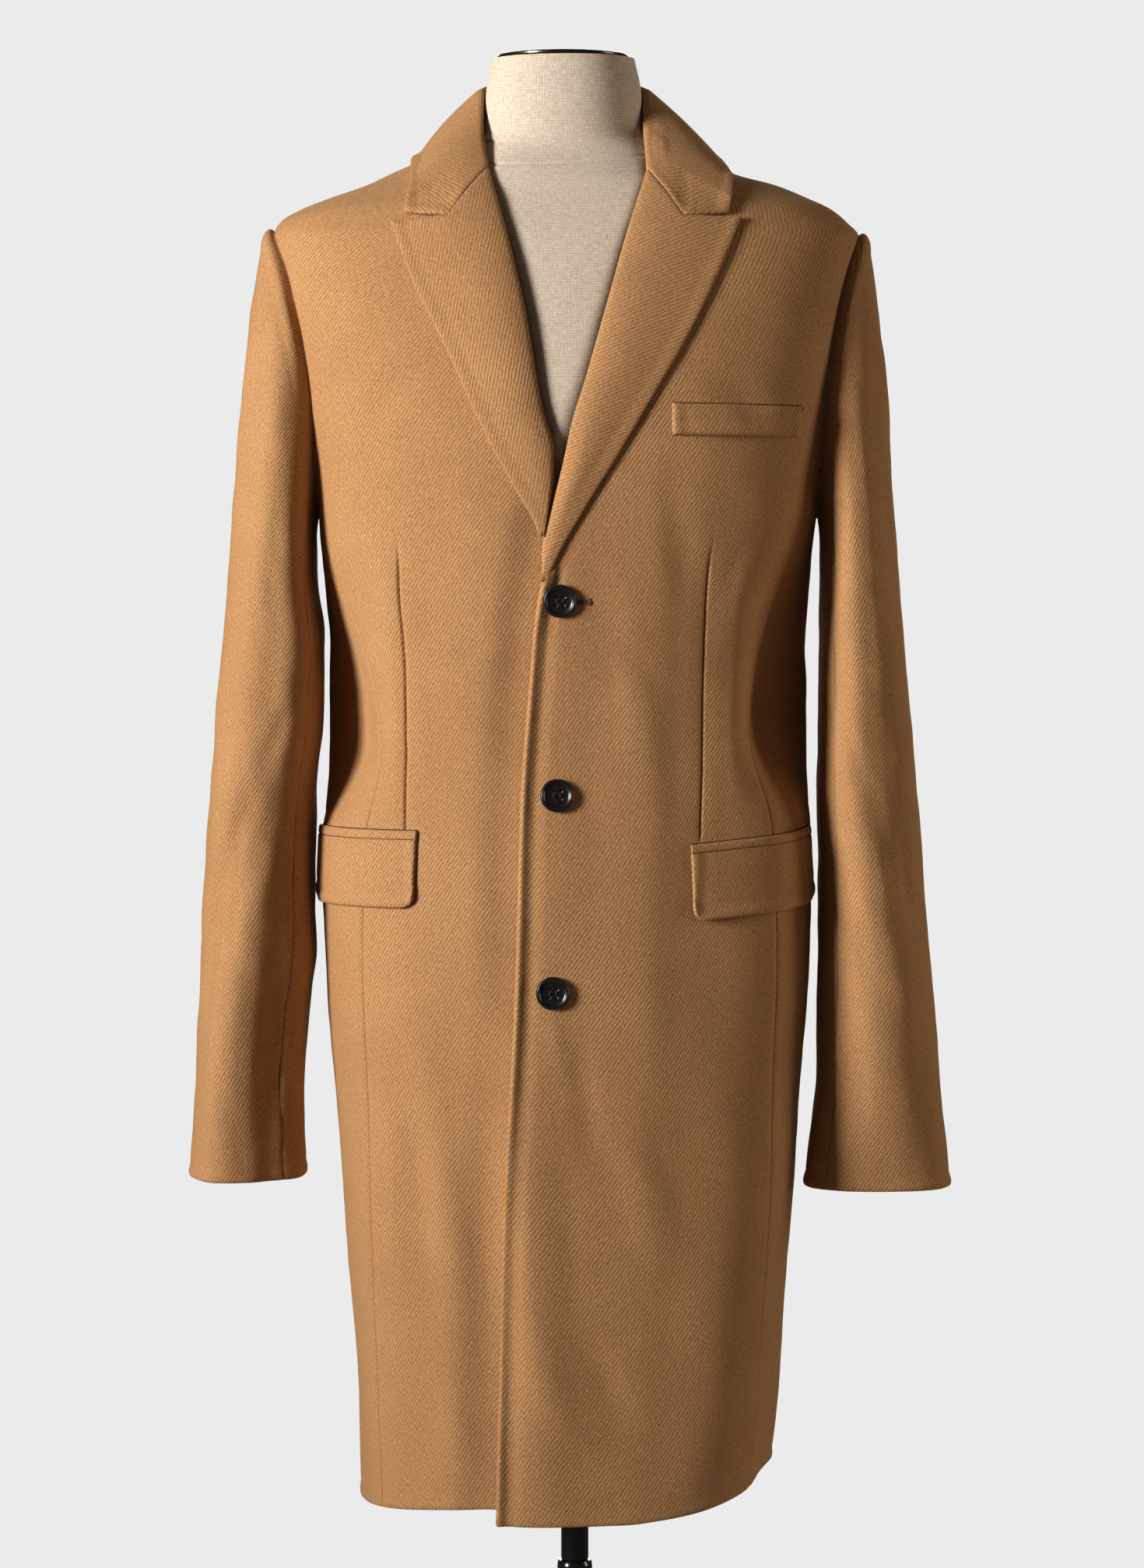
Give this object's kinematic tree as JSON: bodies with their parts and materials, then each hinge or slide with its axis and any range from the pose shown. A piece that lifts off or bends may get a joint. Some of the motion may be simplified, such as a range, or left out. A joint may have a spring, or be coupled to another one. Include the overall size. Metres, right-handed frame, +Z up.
{
  "type": "long overcoat on a dress form",
  "caption": "Single-breasted long wool overcoat with peak lapels, buttoned on a linen-covered dress form that stands on a pole and a round base.",
  "frame": {"origin": "on the floor under the middle of the stand's base", "axes": "+Z up; -Y is the coat's front; +X is the wearer's left"},
  "size_m": [0.546, 0.33, 1.5145],
  "materials": {
    "camel_wool": "napped wool twill",
    "natural_linen": "plain linen weave",
    "black_horn": "polished",
    "dark_metal": "satin",
    "black_metal": "gloss"
  },
  "bodies": {
    "root": {"back_left": "camel_wool", "back_right": "camel_wool", "base": "black_metal", "breast_welt": "camel_wool", "button_1": "black_horn", "button_2": "black_horn", "button_3": "black_horn", "collar": "camel_wool", "dress_form": "natural_linen", "flap_left": "camel_wool", "flap_right": "camel_wool", "front_left": "camel_wool", "front_right": "camel_wool", "jet_left": "camel_wool", "jet_right": "camel_wool", "lapel_left": "camel_wool", "lapel_right": "camel_wool", "neck_cap": "dark_metal", "pole": "black_metal", "pole_collar": "black_metal", "side_left": "camel_wool", "side_right": "camel_wool", "sleeve_top_left": "camel_wool", "sleeve_top_right": "camel_wool", "sleeve_under_left": "camel_wool", "sleeve_under_right": "camel_wool"}
  },
  "joints": []
}
